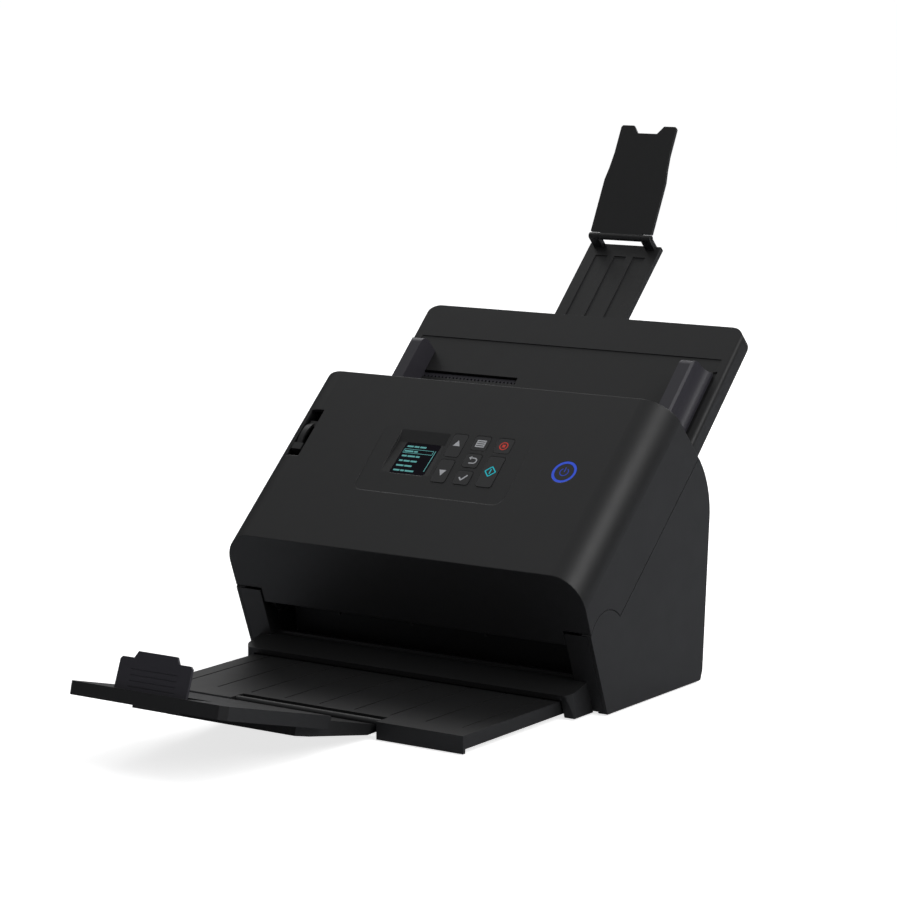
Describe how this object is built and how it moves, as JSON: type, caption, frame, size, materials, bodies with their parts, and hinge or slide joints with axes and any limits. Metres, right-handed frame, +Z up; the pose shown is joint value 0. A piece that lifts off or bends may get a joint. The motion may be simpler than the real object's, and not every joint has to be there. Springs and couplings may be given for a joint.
{
  "type": "sheet fed document scanner",
  "caption": "Desktop sheet fed scanner with an upright sloping feed tray, hinged front unit with keys and screen, and a fold-out eject tray.",
  "frame": {"origin": "on the desk, midway across, straight below the hinge axis of the front unit", "axes": "+X to the right as seen from the front, +Y to the back, +Z up"},
  "size_m": [0.2906, 0.5855, 0.3664],
  "materials": {
    "shell_plastic": "fine textured charcoal",
    "guide_plastic": "smooth dark grey with a slight lilac tint",
    "key_plastic": "smooth charcoal with printed marks",
    "inner_plastic": "plain black",
    "nylon": "natural ivory",
    "roller_rubber": "dull dark grey",
    "foot_rubber": "dull black",
    "steel": "plain steel",
    "plated_metal": "plated",
    "sensor_glass": "clear",
    "screen_plastic": "black, glossy, with pale cyan rows lit",
    "light_ring": "blue, lit",
    "circuit_board": "green lacquer"
  },
  "bodies": {
    "base": {"left_side_cover": "shell_plastic", "right_side_cover": "shell_plastic", "rear_cover": "shell_plastic", "bottom_plate": "inner_plastic", "exit_frame": "shell_plastic", "rubber_feet": "foot_rubber", "chassis_frame": "steel", "lower_guide_plate": "inner_plastic", "shaft_bushes": "nylon", "lower_image_sensor": "inner_plastic", "lower_sensor_glass": "sensor_glass", "drive_motor": "steel", "drive_belts": "roller_rubber", "main_circuit_board": "circuit_board", "rear_ports": "plated_metal", "case_screws": "plated_metal", "unit_hinge_pins": "steel", "feed_tray": "shell_plastic", "feed_tray_back": "shell_plastic"},
    "motor_rotor": {"motor_pulley": "plated_metal"},
    "registration_set": {"registration_rollers": "roller_rubber", "registration_shaft": "steel", "registration_pulleys": "nylon", "registration_gear": "nylon"},
    "eject_set": {"eject_rollers": "roller_rubber", "eject_shaft": "steel", "eject_pulley": "nylon"},
    "idler": {"idler_gear": "nylon"},
    "feed_set": {"feed_roller": "roller_rubber", "feed_shaft": "steel", "feed_gear": "nylon"},
    "sheet_flag": {"document_sensor_flag": "inner_plastic"},
    "front_unit": {"front_cover": "shell_plastic", "upper_frame": "inner_plastic", "lcd_screen": "screen_plastic", "panel_circuit_board": "circuit_board", "power_light_ring": "light_ring", "upper_image_sensor": "inner_plastic", "upper_sensor_glass": "sensor_glass"},
    "separation_set": {"separation_roller": "roller_rubber"},
    "registration_pinch_set": {"registration_pinch_rollers": "roller_rubber"},
    "eject_pinch_set": {"eject_pinch_rollers": "roller_rubber"},
    "lever": {"open_lever": "shell_plastic"},
    "left_guide": {"left_paper_guide": "guide_plastic"},
    "right_guide": {"right_paper_guide": "guide_plastic"},
    "guide_gear": {"guide_pinion": "nylon"},
    "tray_extension": {"feed_extension": "shell_plastic"},
    "support": {"sheet_support": "shell_plastic"},
    "exit_tray": {"eject_tray": "shell_plastic"},
    "exit_extension": {"eject_extension": "shell_plastic"},
    "exit_extension_end": {"eject_extension_end": "shell_plastic"},
    "stopper": {"eject_stopper": "guide_plastic"},
    "up_key": {"up_button": "key_plastic"},
    "down_key": {"down_button": "key_plastic"},
    "menu_key": {"menu_button": "key_plastic"},
    "back_key": {"back_button": "key_plastic"},
    "ok_key": {"ok_button": "key_plastic"},
    "stop_key": {"stop_button": "key_plastic"},
    "start_key": {"start_button": "key_plastic"},
    "power_key": {"power_button": "key_plastic"}
  },
  "joints": [
    {"name": "front_unit_open", "type": "hinge", "parent": "base", "child": "front_unit", "pos_m": [0, 0, 0.0495], "axis": [1, 0, 0], "range_deg": [0, 60]},
    {"name": "lever_pull", "type": "hinge", "parent": "front_unit", "child": "lever", "pos_m": [0, 0.03288, 0.13795], "axis": [1, 0, 0], "range_deg": [0, 10]},
    {"name": "eject_tray_slide", "type": "slide", "parent": "base", "child": "exit_tray", "axis": [0, 1, 0], "range_m": [0, 0.095]},
    {"name": "extension_fold", "type": "hinge", "parent": "exit_tray", "child": "exit_extension", "pos_m": [0, -0.13, 0.01], "axis": [1, 0, 0], "range_deg": [-105, 0]},
    {"name": "extension_end_slide", "type": "slide", "parent": "exit_extension", "child": "exit_extension_end", "axis": [0, 0.9686, -0.2487], "range_m": [0, 0.05]},
    {"name": "stopper_fold", "type": "hinge", "parent": "exit_extension_end", "child": "stopper", "pos_m": [0, -0.28737, 0.05092], "axis": [1, 0, 0], "range_deg": [-84, 0]},
    {"name": "feed_extension_slide", "type": "slide", "parent": "base", "child": "tray_extension", "axis": [0, -0.7157, -0.6984], "range_m": [0, 0.069]},
    {"name": "sheet_support_fold", "type": "hinge", "parent": "tray_extension", "child": "support", "pos_m": [0, 0.24974, 0.28749], "axis": [1, 0, 0], "range_deg": [0, 155]},
    {"name": "right_guide_slide", "type": "slide", "parent": "base", "child": "right_guide", "axis": [-1, 0, 0], "range_m": [0, 0.078]},
    {"name": "left_guide_slide", "type": "slide", "parent": "base", "child": "left_guide", "axis": [1, 0, 0], "range_m": [0, 0.078]},
    {"name": "guide_pinion_turn", "type": "hinge", "parent": "base", "child": "guide_gear", "pos_m": [0, 0.15071, 0.18135], "axis": [0, -0.6984, 0.7157], "range_deg": [-560, 0]},
    {"name": "registration_spin", "type": "hinge", "parent": "base", "child": "registration_set", "pos_m": [0, 0.07686, 0.10772], "axis": [1, 0, 0], "continuous": true},
    {"name": "motor_spin", "type": "hinge", "parent": "base", "child": "motor_rotor", "pos_m": [0, 0.093, 0.044], "axis": [1, 0, 0], "continuous": true},
    {"name": "idler_spin", "type": "hinge", "parent": "base", "child": "idler", "pos_m": [0, 0.09205, 0.11274], "axis": [1, 0, 0], "continuous": true},
    {"name": "feed_spin", "type": "hinge", "parent": "base", "child": "feed_set", "pos_m": [0, 0.1018, 0.12787], "axis": [1, 0, 0], "continuous": true},
    {"name": "eject_spin", "type": "hinge", "parent": "base", "child": "eject_set", "pos_m": [0, 0.0231, 0.05982], "axis": [1, 0, 0], "continuous": true},
    {"name": "registration_pinch_spin", "type": "hinge", "parent": "front_unit", "child": "registration_pinch_set", "pos_m": [0, 0.06673, 0.11878], "axis": [1, 0, 0], "continuous": true},
    {"name": "eject_pinch_spin", "type": "hinge", "parent": "front_unit", "child": "eject_pinch_set", "pos_m": [0, 0.01364, 0.07014], "axis": [1, 0, 0], "continuous": true},
    {"name": "separation_spin", "type": "hinge", "parent": "front_unit", "child": "separation_set", "pos_m": [0, 0.08694, 0.14409], "axis": [1, 0, 0], "continuous": true},
    {"name": "sheet_flag_swing", "type": "hinge", "parent": "base", "child": "sheet_flag", "pos_m": [0, 0.11163, 0.1423], "axis": [1, 0, 0], "range_deg": [0, 35]},
    {"name": "up_press", "type": "slide", "parent": "front_unit", "child": "up_key", "axis": [0, 0.6756, -0.7373], "range_m": [0, 0.001]},
    {"name": "down_press", "type": "slide", "parent": "front_unit", "child": "down_key", "axis": [0, 0.6756, -0.7373], "range_m": [0, 0.001]},
    {"name": "menu_press", "type": "slide", "parent": "front_unit", "child": "menu_key", "axis": [0, 0.6756, -0.7373], "range_m": [0, 0.001]},
    {"name": "back_press", "type": "slide", "parent": "front_unit", "child": "back_key", "axis": [0, 0.6756, -0.7373], "range_m": [0, 0.001]},
    {"name": "ok_press", "type": "slide", "parent": "front_unit", "child": "ok_key", "axis": [0, 0.6756, -0.7373], "range_m": [0, 0.001]},
    {"name": "stop_press", "type": "slide", "parent": "front_unit", "child": "stop_key", "axis": [0, 0.6756, -0.7373], "range_m": [0, 0.001]},
    {"name": "start_press", "type": "slide", "parent": "front_unit", "child": "start_key", "axis": [0, 0.6756, -0.7373], "range_m": [0, 0.001]},
    {"name": "power_press", "type": "slide", "parent": "front_unit", "child": "power_key", "axis": [0, 0.6756, -0.7373], "range_m": [0, 0.001]}
  ],
  "couplings": [
    {"joint": "left_guide_slide", "follows": "right_guide_slide", "ratio": 1},
    {"joint": "guide_pinion_turn", "follows": "right_guide_slide", "rad_per_m": -125},
    {"joint": "motor_spin", "follows": "registration_spin", "ratio": 1.75},
    {"joint": "idler_spin", "follows": "registration_spin", "ratio": -1},
    {"joint": "feed_spin", "follows": "registration_spin", "ratio": 0.8},
    {"joint": "eject_spin", "follows": "registration_spin", "ratio": 1.1667},
    {"joint": "registration_pinch_spin", "follows": "registration_spin", "ratio": -1.5},
    {"joint": "eject_pinch_spin", "follows": "registration_spin", "ratio": -1.5556},
    {"joint": "separation_spin", "follows": "registration_spin", "ratio": -0.8}
  ]
}
